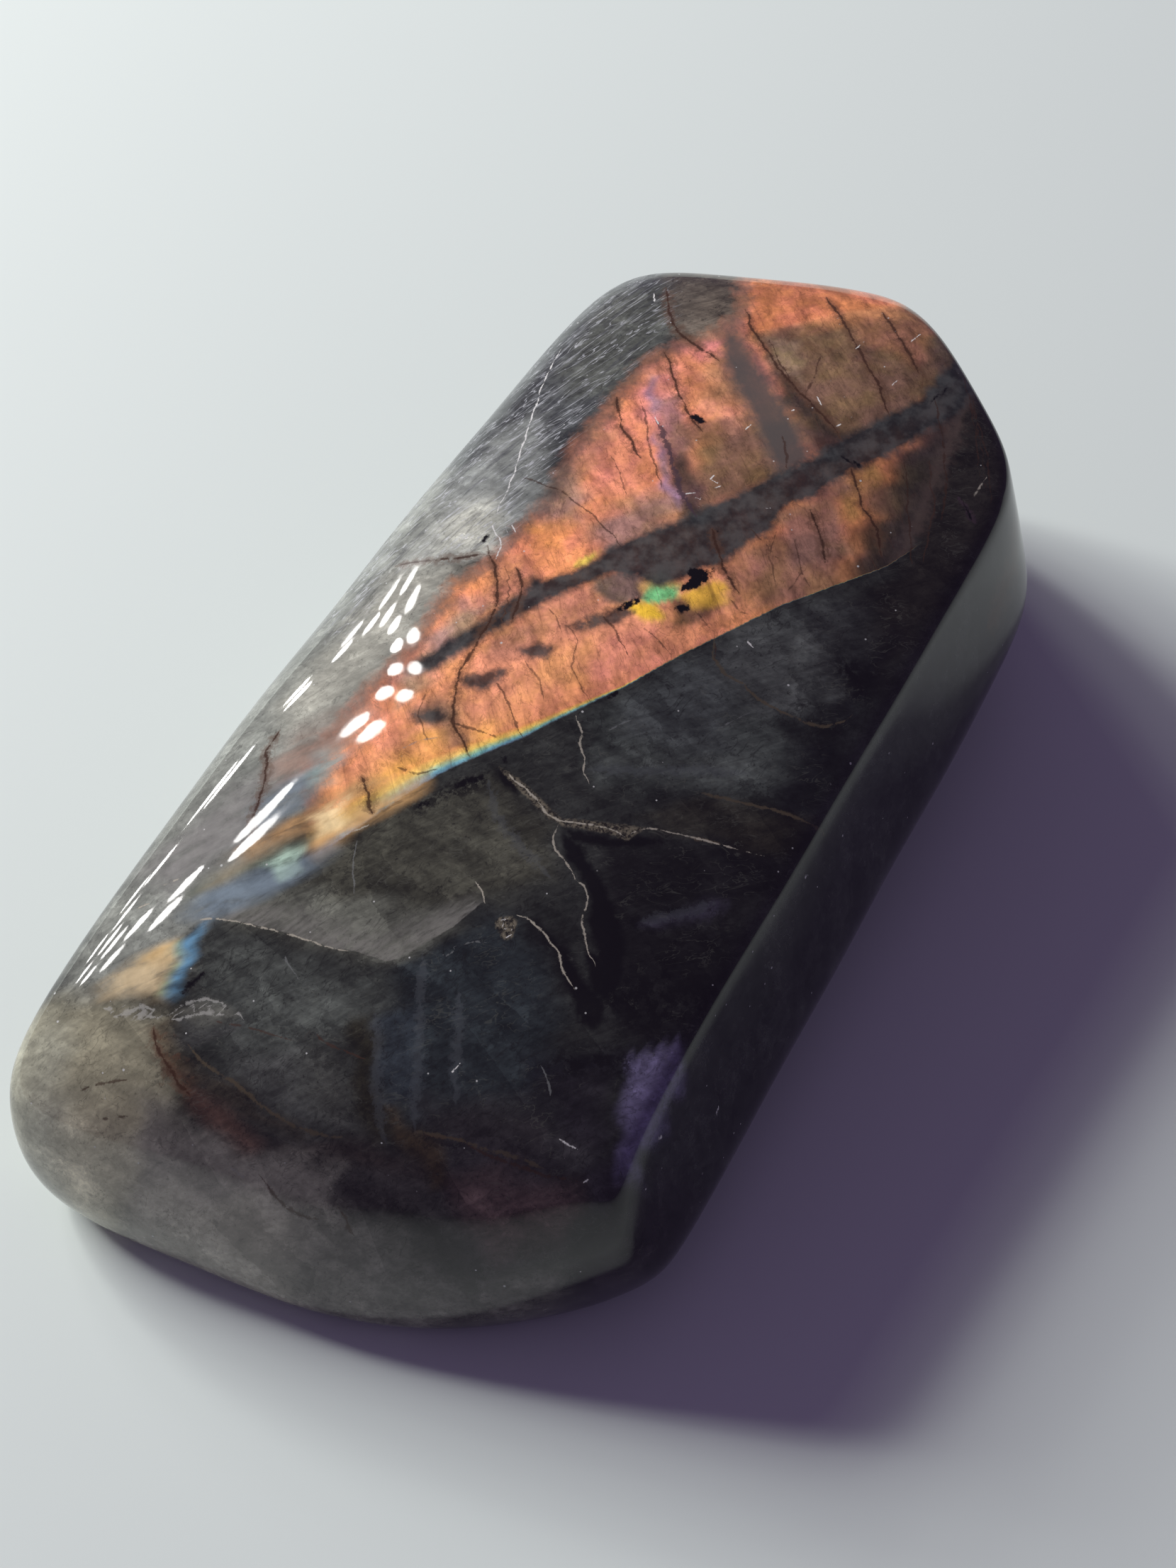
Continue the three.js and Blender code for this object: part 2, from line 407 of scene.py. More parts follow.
# cracks and painted glints by look: width in millimetres, how strongly they show, colour, and the traced
# lines
CRACKS_AND_GLINTS = {
    "brown_crack": (0.17, 0.85, (0.04, 0.018, 0.009), [
        [(940, 405), (944, 440), (956, 466), (975, 485), (1000, 498), (1018, 512)],
        [(938, 495), (958, 556), (976, 592), (994, 612)],
        [(1052, 436), (1060, 462), (1106, 530), (1165, 590), (1188, 624)],
        [(1165, 418), (1240, 545), (1256, 592)],
        [(1245, 440), (1282, 500), (1296, 530)],
        [(868, 560), (876, 600), (905, 648)],
        [(686, 770), (698, 800), (702, 840), (694, 872), (650, 945), (640, 990), (638, 1018), (668, 1074)],
        [(1005, 745), (1018, 796), (1045, 840)],
        [(1142, 718), (1160, 765), (1164, 796)],
        [(728, 800), (738, 825), (722, 880)],
        [(395, 1030), (376, 1060), (374, 1100), (358, 1150), (350, 1190)],
        [(1200, 660), (1216, 715), (1236, 745), (1246, 790)],
        [(1435, 720), (1430, 800), (1392, 895)],
        [(560, 798), (650, 787), (690, 780)],
        [(510, 1095), (518, 1120), (524, 1150)],
        [(215, 1450), (224, 1484), (246, 1520), (270, 1548)],
    ]),
    "thin_crack": (0.13, 0.7, (0.045, 0.022, 0.012), [
        [(905, 560), (918, 640), (934, 690)],
        [(735, 672), (790, 692), (840, 730), (862, 752), (880, 775)],
        [(700, 962), (716, 990), (738, 1044)],
        [(850, 868), (862, 880), (888, 930)],
        [(1275, 650), (1280, 700), (1286, 800)],
        [(1320, 560), (1330, 620), (1335, 680), (1328, 740)],
        [(110, 1540), (135, 1530), (185, 1522)],
        [(365, 1655), (382, 1682), (400, 1700), (425, 1716), (452, 1720)],
        [(590, 1600), (640, 1606), (690, 1630), (760, 1655), (820, 1668)],
        [(475, 1700), (486, 1722), (500, 1745)],
        [(640, 1020), (700, 1040), (725, 1043)],
        [(1085, 478), (1105, 520), (1120, 548)],
        [(1160, 500), (1148, 530), (1136, 562)],
        [(1105, 612), (1108, 640), (1112, 662)],
        [(560, 1082), (590, 1092), (620, 1084)],
        [(1010, 905), (1008, 935)],
        [(140, 1578), (160, 1577), (185, 1574)],
    ]),
    "hair_crack": (0.1, 0.6, (0.055, 0.027, 0.016), [
        [(862, 640), (874, 670), (884, 700)],
        [(770, 855), (786, 872), (792, 895)],
        [(800, 882), (816, 905), (806, 940), (822, 975), (836, 995)],
        [(905, 880), (925, 900), (948, 925)],
        [(980, 860), (996, 880), (1010, 893)],
        [(1120, 760), (1130, 800), (1142, 830)],
        [(1100, 740), (1084, 780), (1095, 830)],
        [(600, 975), (590, 1010), (605, 1050)],
        [(1340, 470), (1362, 540), (1378, 620), (1385, 690)],
        [(1310, 640), (1318, 720), (1300, 800)],
        [(1370, 560), (1392, 640), (1400, 720)],
        [(960, 520), (985, 512), (1000, 506)],
        [(1060, 745), (1080, 770), (1100, 790)],
        [(1030, 845), (1045, 862), (1062, 872)],
        [(740, 930), (760, 960), (770, 990)],
        [(430, 1450), (470, 1476), (520, 1496)],
        [(300, 1440), (360, 1452), (420, 1470)],
        [(1110, 835), (1128, 812), (1146, 806)],
    ]),
    "violet_crack": (0.34, 0.8, (0.05, 0.032, 0.042), [
        [(925, 590), (940, 622), (962, 700), (985, 732)],
        [(1352, 700), (1362, 718), (1378, 740)],
    ]),
    "amber_crack": (0.17, 0.7, (0.085, 0.066, 0.04), [
        [
            (1010, 895), (1005, 925), (1020, 950), (1050, 966), (1068, 986), (1130, 1018), (1160, 1026),
            (1190, 1018), (1208, 1004),
        ],
        [(985, 1118), (1090, 1142), (1150, 1166)],
        [(265, 1472), (290, 1504), (330, 1526), (362, 1556), (400, 1580), (440, 1598), (500, 1608)],
        [(580, 1596), (620, 1602), (720, 1630), (780, 1652)],
        [(975, 1182), (1000, 1186), (1022, 1192)],
        [(1135, 1158), (1150, 1168), (1168, 1182)],
    ]),
    "pale_crack": (0.1, 0.8, (0.42, 0.39, 0.32), [
        [
            (705, 1084), (745, 1115), (770, 1148), (790, 1158), (845, 1165), (868, 1172), (882, 1182),
            (893, 1174), (915, 1168), (985, 1183), (1090, 1211),
        ],
        [(727, 1290), (745, 1297), (775, 1325), (787, 1340), (790, 1362), (798, 1380), (812, 1398)],
        [(812, 1008), (825, 1038), (817, 1046), (819, 1057), (826, 1070), (822, 1090), (834, 1108)],
        [(268, 1300), (300, 1295), (335, 1300), (410, 1318), (470, 1339), (500, 1342)],
        [(165, 1290), (188, 1284), (212, 1274)],
        [(672, 1243), (680, 1256), (684, 1276)],
        [(1370, 702), (1380, 690), (1393, 672)],
    ]),
    "branch_crack": (0.1, 0.8, (0.42, 0.39, 0.32), [
        [
            (790, 1160), (782, 1180), (783, 1197), (812, 1240), (825, 1250), (830, 1265), (822, 1302),
            (824, 1322), (840, 1366),
        ],
        [(480, 1180), (500, 1172), (530, 1160)],
        [(222, 1252), (242, 1244), (263, 1237)],
    ]),
    "scratch": (0.09, 0.45, (0.2, 0.21, 0.21), [
        [(400, 1348), (410, 1366), (422, 1388)],
        [(1012, 1028), (1035, 1016), (1062, 1004)],
        [(502, 1186), (498, 1220), (500, 1262)],
        [(615, 1356), (632, 1347), (652, 1335)],
        [(860, 1030), (878, 1020), (896, 1014)],
        [(762, 1502), (770, 1522), (778, 1548)],
        [(325, 1645), (336, 1654), (346, 1662)],
        [(640, 1336), (670, 1328), (690, 1330)],
        [(560, 1060), (590, 1045), (620, 1040)],
    ]),
    "veil": (0.55, 0.28, (0.085, 0.095, 0.105), [
        [(595, 1345), (590, 1500), (584, 1600)],
        [(528, 1430), (534, 1480), (530, 1530), (536, 1580), (544, 1620)],
        [(648, 1400), (645, 1480), (642, 1560)],
        [(830, 1085), (900, 1088), (980, 1086), (1060, 1092)],
        [(905, 1300), (980, 1284), (1012, 1272)],
        [(690, 1100), (700, 1150), (730, 1190), (780, 1240)],
    ]),
    # painted reflection: the lamps' glint along the groove across the broad end's left corner
    "groove_glint": (0.17, 0.4, (0.5, 0.5, 0.47), [
        [(236, 1434), (264, 1414), (290, 1409), (316, 1416), (338, 1432), (346, 1444)],
        [(246, 1440), (280, 1429), (322, 1431)],
        [(146, 1422), (200, 1429), (232, 1437)],
        [(158, 1434), (195, 1437), (230, 1438)],
        [(176, 1415), (206, 1421), (228, 1430)],
    ]),
    # painted glints: light caught on cleavage flecks and chips; the first line is a white crack on the
    # bevel
    "glint": (0.09, 0.85, (0.72, 0.72, 0.7), [
        [(792, 492), (770, 530), (735, 634), (728, 662), (694, 738)],
        [(700, 742), (706, 768), (700, 790)],
        [(1208, 492), (1222, 480)],
        [(1282, 484), (1300, 470)],
        [(1258, 544), (1270, 534)],
        [(1152, 558), (1160, 572)],
        [(1176, 604), (1186, 598)],
        [(1052, 606), (1062, 597)],
        [(1000, 678), (1010, 668)],
        [(1004, 690), (1020, 684)],
        [(966, 697), (988, 694)],
        [(988, 714), (996, 712)],
        [(1078, 718), (1086, 717)],
        [(924, 586), (930, 600)],
        [(922, 414), (924, 426)],
        [(1177, 451), (1188, 447)],
        [(1116, 580), (1122, 577)],
        [(1134, 638), (1140, 636)],
        [(1054, 904), (1062, 914)],
        [(694, 740), (704, 760)],
        [(655, 760), (672, 757)],
        [(722, 740), (728, 752)],
        [(790, 1606), (800, 1614), (815, 1622)],
        [(824, 1668), (834, 1662)],
        [(1014, 1560), (1008, 1576)],
        [(928, 1606), (934, 1602)],
        [(703, 1300), (716, 1296)],
        [(708, 1312), (724, 1306)],
        [(712, 1324), (722, 1318)],
        [(640, 1512), (648, 1500)],
        [(1136, 1240), (1142, 1236)],
    ]),
}
# millimetres beyond which a traced line, crack or painted glint, leaves no mark
LINE_REACH = 1.2
# how far a traced line sways to either side, and the mean of the noise that it follows
SWAY_SIZE = 0.4
MEAN_SWAY = 0.61

# ground colours of the dark rock, among them a few painted glare, reflection and shade patches: colour,
# softness in millimetres, strength, outline
GROUND_AND_PAINTED_LIGHT_PATCHES = [
    ((0.068, 0.074, 0.086), 3.0, 0.95, [
        (1050, 360), (860, 360), (640, 600), (400, 900), (480, 960), (700, 790), (750, 700), (860, 550),
        (960, 470),
    ]),
    ((0.078, 0.084, 0.082), 2.0, 0.85, [
        (860, 420), (950, 400), (960, 460), (860, 550), (800, 560), (790, 520),
    ]),
    ((0.115, 0.095, 0.085), 2.4, 0.85, [
        (940, 370), (1070, 370), (1064, 440), (1040, 490), (960, 490), (940, 440),
    ]),
    ((0.245, 0.262, 0.285), 2.6, 0.9, [
        (715, 600), (765, 586), (775, 700), (705, 772), (600, 800), (620, 700),
    ]),
    # painted highlight: the lamps' glare on the brushed left bevel
    ((0.56, 0.57, 0.565), 2.6, 0.9, [(556, 800), (650, 715), (700, 700), (702, 776)]),
    ((0.11, 0.105, 0.1), 0.8, 0.85, [
        (545, 812), (600, 798), (690, 784), (700, 810), (650, 830), (560, 850), (500, 880),
    ]),
    ((0.225, 0.238, 0.245), 3.0, 0.9, [
        (640, 640), (220, 1150), (60, 1380), (200, 1400), (480, 1080), (560, 940), (620, 860),
    ]),
    # painted glare: the lamps' light spread over the upper left slope, on top of its brushed haze
    ((0.36, 0.36, 0.355), 3.5, 0.9, [
        (640, 800), (560, 810), (400, 990), (400, 1040), (490, 1000), (610, 870),
    ]),
    ((0.016, 0.014, 0.013), 2.0, 0.9, [
        (1290, 560), (1380, 500), (1470, 700), (1300, 900), (1240, 960), (1200, 860), (1290, 780),
    ]),
    ((0.044, 0.051, 0.054), 2.5, 0.9, [
        (1180, 840), (1010, 905), (830, 1010), (840, 1110), (1000, 1120), (1160, 1150), (1230, 1000),
    ]),
    ((0.062, 0.067, 0.074), 4.0, 0.85, [
        (1000, 905), (1180, 840), (1230, 880), (1210, 980), (1180, 1020), (1110, 1020), (980, 960),
    ]),
    ((0.062, 0.07, 0.08), 2.5, 0.8, [
        (880, 985), (960, 940), (1010, 930), (1030, 980), (1020, 1050), (940, 1060), (880, 1030),
    ]),
    ((0.018, 0.019, 0.022), 2.0, 0.75, [(1130, 860), (1235, 850), (1220, 960), (1160, 970)]),
    ((0.004, 0.004, 0.006), 2.5, 0.88, [
        (1240, 900), (1280, 880), (1190, 1080), (1095, 1250), (1030, 1260), (1000, 1230), (1020, 1180),
        (1080, 1150), (1120, 1070),
    ]),
    ((0.068, 0.077, 0.082), 2.0, 0.8, [(830, 1060), (1060, 1070), (1080, 1100), (840, 1104)]),
    ((0.034, 0.03, 0.022), 1.5, 0.5, [(990, 1120), (1150, 1160), (1100, 1210), (900, 1160)]),
    ((0.05, 0.05, 0.043), 2.5, 0.9, [
        (700, 1090), (560, 1140), (440, 1210), (330, 1290), (460, 1340), (560, 1350), (680, 1270),
        (780, 1240), (770, 1160),
    ]),
    ((0.022, 0.029, 0.037), 3.0, 0.9, [
        (560, 1360), (690, 1290), (760, 1330), (790, 1420), (760, 1560), (640, 1570), (560, 1560),
    ]),
    ((0.064, 0.071, 0.074), 4.0, 0.92, [
        (290, 1340), (400, 1345), (545, 1380), (530, 1420), (490, 1450), (470, 1600), (400, 1600),
        (340, 1550), (300, 1480), (280, 1400),
    ]),
    ((0.05, 0.05, 0.052), 3.0, 0.6, [(420, 1470), (480, 1470), (500, 1600), (430, 1590)]),
    ((0.03, 0.031, 0.03), 1.0, 0.8, [(262, 1310), (284, 1306), (284, 1350), (272, 1400), (258, 1404)]),
    ((0.122, 0.127, 0.122), 1.8, 0.85, [
        (300, 1290), (340, 1265), (420, 1255), (655, 1286), (600, 1335), (545, 1357),
    ]),
    ((0.007, 0.007, 0.008), 3.0, 0.92, [(850, 1190), (1100, 1210), (960, 1500), (880, 1480), (840, 1400)]),
    ((0.072, 0.074, 0.082), 2.5, 0.7, [(330, 1480), (420, 1490), (430, 1580), (380, 1570), (330, 1530)]),
    ((0.042, 0.038, 0.046), 3.0, 0.85, [(600, 1560), (760, 1560), (800, 1640), (760, 1700), (640, 1680)]),
    ((0.006, 0.006, 0.01), 1.6, 0.8, [
        (735, 1500), (800, 1480), (905, 1478), (985, 1440), (1000, 1475), (900, 1515), (800, 1530),
        (745, 1530),
    ]),
    ((0.006, 0.006, 0.007), 1.2, 0.8, [(760, 1290), (800, 1330), (840, 1400), (800, 1404), (745, 1310)]),
    ((0.01, 0.011, 0.012), 1.0, 0.8, [
        (1090, 1000), (1130, 1020), (1200, 1005), (1190, 1050), (1110, 1062),
    ]),
    ((0.01, 0.01, 0.014), 2.0, 0.7, [(735, 1535), (820, 1535), (845, 1600), (780, 1620)]),
    ((0.034, 0.029, 0.044), 1.6, 0.7, [(820, 1660), (900, 1640), (900, 1705), (840, 1718)]),
    ((0.024, 0.022, 0.015), 1.2, 0.85, [
        (492, 1430), (522, 1430), (534, 1560), (560, 1600), (520, 1610), (504, 1560),
    ]),
    ((0.026, 0.034, 0.048), 1.4, 0.8, [(536, 1430), (590, 1430), (590, 1560), (545, 1570), (530, 1500)]),
    ((0.26, 0.245, 0.2), 4.0, 0.95, [
        (-40, 1380), (150, 1410), (225, 1440), (245, 1540), (240, 1640), (150, 1720), (-40, 1740),
        (-80, 1500),
    ]),
    ((0.56, 0.54, 0.45), 4.0, 0.95, [(-60, 1560), (100, 1560), (225, 1620), (150, 1720), (-40, 1740)]),
    ((0.42, 0.39, 0.31), 1.6, 0.6, [(95, 1562), (180, 1552), (230, 1566), (218, 1606), (120, 1606)]),
    ((0.32, 0.325, 0.3), 3.0, 0.7, [
        (-40, 1400), (60, 1400), (100, 1450), (90, 1560), (20, 1600), (-60, 1560),
    ]),
    ((0.34, 0.33, 0.31), 3.4, 0.95, [
        (60, 1680), (200, 1620), (330, 1640), (480, 1720), (520, 1800), (430, 1900), (200, 1860),
        (60, 1780),
    ]),
    ((0.12, 0.116, 0.116), 3.4, 0.9, [
        (420, 1700), (800, 1760), (860, 1840), (700, 1920), (480, 1900), (400, 1800),
    ]),
    ((0.06, 0.04, 0.026), 1.0, 0.8, [(206, 1450), (232, 1446), (290, 1560), (262, 1560)]),
    # painted shade: the broad end's lower right, darkened where the cast shadow is mirrored in it
    ((0.016, 0.013, 0.018), 3.4, 0.97, [
        (595, 1735), (860, 1728), (885, 1780), (800, 1842), (690, 1832), (610, 1808),
    ]),
    ((0.12, 0.068, 0.06), 1.2, 0.85, [
        (252, 1524), (290, 1540), (330, 1580), (366, 1604), (360, 1622), (320, 1616), (290, 1590),
    ]),
    ((0.06, 0.042, 0.04), 1.4, 0.6, [
        (366, 1604), (420, 1618), (470, 1612), (540, 1622), (600, 1650), (700, 1668), (600, 1668),
        (500, 1640), (410, 1642), (360, 1622),
    ]),
    ((0.235, 0.225, 0.222), 1.8, 0.92, [
        (200, 1545), (236, 1560), (285, 1604), (345, 1632), (420, 1626), (478, 1646), (460, 1700),
        (360, 1700), (280, 1690), (200, 1650),
    ]),
    ((0.056, 0.05, 0.054), 2.0, 0.7, [(480, 1650), (600, 1664), (620, 1700), (560, 1718), (470, 1704)]),
    ((0.04, 0.032, 0.026), 0.8, 0.75, [
        (262, 1500), (320, 1520), (380, 1570), (440, 1600), (420, 1608), (350, 1580), (300, 1545),
    ]),
    ((0.052, 0.036, 0.022), 1.0, 0.85, [
        (545, 1570), (590, 1590), (620, 1625), (636, 1670), (610, 1676), (590, 1640), (560, 1606),
    ]),
    ((0.11, 0.07, 0.078), 2.0, 0.8, [
        (640, 1668), (740, 1660), (820, 1690), (790, 1740), (700, 1756), (650, 1720),
    ]),
    ((0.175, 0.155, 0.32), 1.0, 0.9, [
        (890, 1504), (930, 1484), (968, 1474), (957, 1530), (937, 1578), (917, 1614), (902, 1654),
        (870, 1656), (872, 1600),
    ]),
    ((0.034, 0.031, 0.056), 1.4, 0.7, [(905, 1300), (1000, 1268), (1022, 1274), (1000, 1300), (930, 1310)]),
    # painted shade: the broad end's right corner, darkened where the cast shadow is mirrored in it
    ((0.016, 0.013, 0.018), 2.0, 0.9, [
        (850, 1700), (960, 1680), (990, 1700), (940, 1800), (880, 1860), (820, 1800),
    ]),
    ((0.06, 0.058, 0.068), 1.0, 0.7, [(792, 1600), (830, 1600), (840, 1650), (800, 1660)]),
    ((0.02, 0.018, 0.026), 1.6, 0.7, [(770, 1520), (860, 1510), (862, 1600), (840, 1640), (800, 1600)]),
    # painted reflection: the lamps mirrored in the groove, a light leaf
    ((0.15, 0.152, 0.15), 0.7, 0.8, [
        (246, 1428), (265, 1413), (290, 1408), (320, 1420), (337, 1433), (300, 1441), (270, 1444),
    ]),
    ((0.07, 0.072, 0.08), 0.9, 0.8, [
        (246, 1446), (300, 1446), (340, 1442), (320, 1462), (280, 1476), (256, 1466),
    ]),
]
# colour of the rock between its patches
GROUND = (0.024, 0.026, 0.027)

# streaks of colour on the left slope, toward the broad end
LEFT_STREAKS = [
    ((0.22, 0.215, 0.205), 3.0, 0.75, [
        (200, 1230), (330, 1110), (390, 1090), (370, 1160), (340, 1200), (240, 1262),
    ]),
    ((0.33, 0.23, 0.18), 3.0, 0.85, [
        (385, 1080), (420, 1040), (515, 996), (530, 1010), (495, 1058), (395, 1110),
    ]),
    ((0.165, 0.2, 0.225), 2.0, 0.95, [
        (356, 1150), (392, 1108), (446, 1078), (446, 1104), (424, 1132), (366, 1176),
    ]),
    ((0.26, 0.36, 0.34), 1.6, 0.8, [
        (428, 1092), (450, 1066), (482, 1058), (488, 1078), (470, 1100), (442, 1110),
    ]),
    ((0.5, 0.3, 0.135), 1.8, 0.95, [(346, 1202), (500, 1098), (560, 1096), (530, 1118), (352, 1208)]),
    ((0.62, 0.37, 0.15), 1.8, 0.9, [
        (430, 1196), (440, 1172), (510, 1128), (600, 1100), (580, 1126), (450, 1204),
    ]),
    ((0.175, 0.205, 0.15), 1.8, 0.85, [
        (262, 1254), (340, 1214), (440, 1180), (430, 1198), (300, 1246), (268, 1266),
    ]),
    ((0.19, 0.245, 0.29), 2.2, 0.85, [(262, 1290), (300, 1256), (470, 1196), (420, 1236), (290, 1300)]),
    ((0.52, 0.72, 0.58), 1.2, 0.85, [(370, 1222), (400, 1200), (430, 1196), (424, 1218), (395, 1232)]),
    ((0.96, 0.76, 0.42), 1.4, 0.85, [(440, 1160), (490, 1130), (480, 1160), (450, 1175)]),
    ((0.28, 0.225, 0.15), 1.8, 0.65, [(285, 1250), (325, 1214), (352, 1202), (345, 1224), (318, 1242)]),
    ((0.62, 0.49, 0.29), 1.8, 0.9, [
        (140, 1404), (196, 1350), (226, 1333), (246, 1331), (250, 1344), (232, 1402),
    ]),
    ((0.56, 0.37, 0.15), 1.0, 0.7, [(200, 1360), (226, 1338), (246, 1334), (240, 1352), (215, 1362)]),
    ((0.33, 0.44, 0.26), 0.8, 0.75, [
        (246, 1331), (256, 1334), (258, 1348), (246, 1376), (240, 1404), (230, 1404), (246, 1346),
    ]),
    ((0.15, 0.33, 0.5), 1.1, 0.9, [
        (256, 1336), (286, 1304), (288, 1316), (274, 1342), (252, 1402), (242, 1406), (246, 1378),
        (256, 1350),
    ]),
]

# colours of the colour play itself
FLASH_PATCHES = [
    ((1.0, 0.43, 0.21), 4.0, 0.9, [
        (640, 930), (880, 830), (1060, 800), (1100, 850), (540, 1130), (480, 1110),
    ]),
    ((0.98, 0.36, 0.24), 2.0, 0.7, [(860, 900), (1000, 880), (960, 940), (860, 970), (820, 940)]),
    ((1.0, 0.48, 0.13), 2.0, 0.9, [(500, 1100), (600, 1040), (690, 1020), (690, 1060), (490, 1170)]),
    ((1.0, 0.4, 0.13), 1.2, 0.8, [(745, 745), (790, 715), (815, 740), (795, 775), (755, 780)]),
    ((0.78, 0.28, 0.19), 1.6, 0.85, [(830, 640), (880, 580), (905, 650), (900, 700), (850, 710)]),
    ((0.6, 0.26, 0.155), 2.0, 0.8, [(690, 800), (740, 790), (770, 820), (720, 860), (680, 850)]),
    ((0.4, 0.21, 0.16), 1.6, 0.5, [(790, 660), (836, 600), (868, 572), (872, 604), (806, 706)]),
    ((0.36, 0.22, 0.165), 2.5, 0.9, [(830, 740), (900, 700), (970, 680), (980, 720), (850, 790)]),
    ((0.39, 0.25, 0.19), 2.2, 0.85, [(755, 690), (790, 655), (830, 690), (815, 735), (770, 740)]),
    ((0.74, 0.28, 0.15), 1.8, 0.8, [(955, 500), (1010, 500), (1035, 560), (1000, 595), (960, 570)]),
    ((0.34, 0.18, 0.107), 1.6, 0.8, [(618, 1015), (655, 1010), (668, 1060), (632, 1066)]),
    ((0.42, 0.3, 0.23), 2.0, 0.85, [(560, 960), (650, 850), (690, 850), (670, 900), (560, 1000)]),
    ((0.3, 0.18, 0.12), 1.6, 0.85, [(580, 1000), (620, 985), (650, 1000), (640, 1020), (600, 1030)]),
    ((0.62, 0.27, 0.16), 2.0, 0.8, [(740, 850), (850, 820), (860, 860), (780, 900), (730, 900)]),
    ((0.32, 0.175, 0.11), 3.0, 0.9, [(1060, 780), (1180, 740), (1200, 860), (1060, 860)]),
    ((0.3, 0.175, 0.118), 1.6, 0.8, [(1090, 720), (1180, 700), (1200, 780), (1120, 800)]),
    ((0.72, 0.31, 0.18), 1.4, 0.8, [(996, 510), (1040, 540), (1070, 600), (1020, 610), (985, 570)]),
    ((0.165, 0.108, 0.066), 2.6, 0.95, [
        (1058, 470), (1250, 445), (1345, 455), (1420, 480), (1420, 560), (1300, 590), (1190, 640),
        (1120, 600),
    ]),
    ((0.3, 0.205, 0.13), 0.9, 0.8, [(1075, 480), (1130, 480), (1130, 540), (1100, 530)]),
    ((0.205, 0.125, 0.07), 3.0, 0.95, [
        (985, 625), (1060, 600), (1120, 640), (1100, 680), (990, 735), (960, 690),
    ]),
    ((0.64, 0.225, 0.105), 0.6, 0.95, [
        (1052, 462), (1060, 440), (1058, 360), (1200, 360), (1320, 440), (1240, 436), (1150, 450),
        (1075, 468),
    ]),
    ((0.36, 0.16, 0.09), 1.5, 0.7, [(1180, 440), (1290, 440), (1330, 470), (1300, 520), (1210, 480)]),
    ((0.56, 0.2, 0.15), 1.0, 0.8, [
        (1036, 450), (1056, 462), (1080, 520), (1110, 560), (1090, 560), (1054, 500),
    ]),
    ((0.095, 0.072, 0.056), 1.6, 0.7, [(1310, 470), (1370, 480), (1380, 540), (1330, 540)]),
    ((0.064, 0.044, 0.034), 1.2, 0.92, [
        (1092, 520), (1125, 548), (1192, 620), (1180, 648), (1150, 652), (1130, 604), (1105, 562),
    ]),
    ((0.44, 0.23, 0.09), 1.3, 0.9, [(1170, 690), (1212, 662), (1240, 655), (1246, 685), (1200, 735)]),
    ((0.115, 0.082, 0.058), 2.5, 0.95, [
        (1262, 640), (1320, 600), (1350, 640), (1310, 710), (1270, 730), (1256, 690),
    ]),
    ((0.3, 0.165, 0.12), 1.0, 0.7, [(1140, 690), (1190, 668), (1200, 690), (1160, 712)]),
    ((0.075, 0.053, 0.038), 3.0, 0.95, [
        (1205, 750), (1275, 700), (1300, 620), (1360, 560), (1440, 560), (1440, 700), (1300, 820),
        (1190, 850),
    ]),
    ((0.2, 0.118, 0.07), 1.4, 0.85, [(1225, 690), (1270, 670), (1290, 700), (1260, 730), (1225, 722)]),
    ((0.15, 0.125, 0.1), 1.0, 0.9, [
        (836, 812), (870, 804), (905, 812), (908, 842), (880, 854), (845, 846),
    ]),
    ((0.11, 0.07, 0.042), 0.9, 0.85, [(948, 850), (1000, 840), (1012, 854), (985, 884), (952, 888)]),
    ((0.9, 0.3, 0.28), 1.2, 0.75, [(950, 480), (1020, 478), (1024, 500), (990, 508), (955, 500)]),
    ((0.8, 0.3, 0.25), 2.0, 0.8, [(900, 520), (950, 510), (985, 700), (960, 700), (900, 590)]),
    ((0.34, 0.18, 0.155), 1.2, 0.85, [(922, 560), (955, 555), (975, 640), (960, 662), (935, 645)]),
    ((0.075, 0.05, 0.042), 1.2, 0.92, [
        (945, 652), (968, 642), (992, 690), (1002, 738), (970, 738), (952, 702),
    ]),
    ((0.26, 0.145, 0.09), 1.6, 0.8, [
        (952, 590), (1000, 596), (1062, 590), (1142, 596), (1140, 622), (1050, 628), (958, 624),
    ]),
    ((0.36, 0.18, 0.11), 1.6, 0.75, [(1000, 498), (1046, 503), (1070, 560), (1010, 562)]),
    ((0.42, 0.2, 0.125), 1.6, 0.7, [(690, 876), (740, 872), (765, 890), (740, 925), (690, 930)]),
    ((0.4, 0.195, 0.13), 1.8, 0.7, [(1010, 800), (1110, 745), (1110, 770), (1060, 830), (1015, 850)]),
    ((0.34, 0.22, 0.27), 0.9, 0.8, [(912, 530), (924, 530), (932, 580), (922, 590), (914, 560)]),
    ((0.34, 0.23, 0.31), 0.7, 0.75, [(925, 610), (938, 640), (960, 720), (940, 700), (926, 650)]),
    ((0.26, 0.78, 0.27), 0.6, 1.0, [
        (906, 838), (916, 820), (938, 812), (958, 824), (956, 846), (932, 856), (912, 850),
    ]),
    ((1.0, 0.66, 0.05), 0.7, 1.0, [(890, 852), (908, 848), (932, 858), (928, 872), (900, 872)]),
    ((0.9, 0.6, 0.15), 0.6, 0.8, [
        (900, 828), (915, 814), (945, 810), (965, 820), (955, 826), (925, 820), (908, 832),
    ]),
    ((1.0, 0.6, 0.07), 0.8, 0.95, [
        (956, 846), (1000, 818), (1022, 824), (1035, 836), (1010, 850), (975, 856),
    ]),
    ((0.9, 0.66, 0.13), 0.5, 0.9, [(806, 806), (815, 794), (840, 778), (842, 790), (826, 802)]),
    ((0.046, 0.037, 0.029), 4.0, 0.95, [
        (1275, 640), (1310, 600), (1440, 530), (1440, 800), (1200, 930), (1222, 800),
    ]),
]
FLASH_COLOUR = (0.93, 0.345, 0.165)
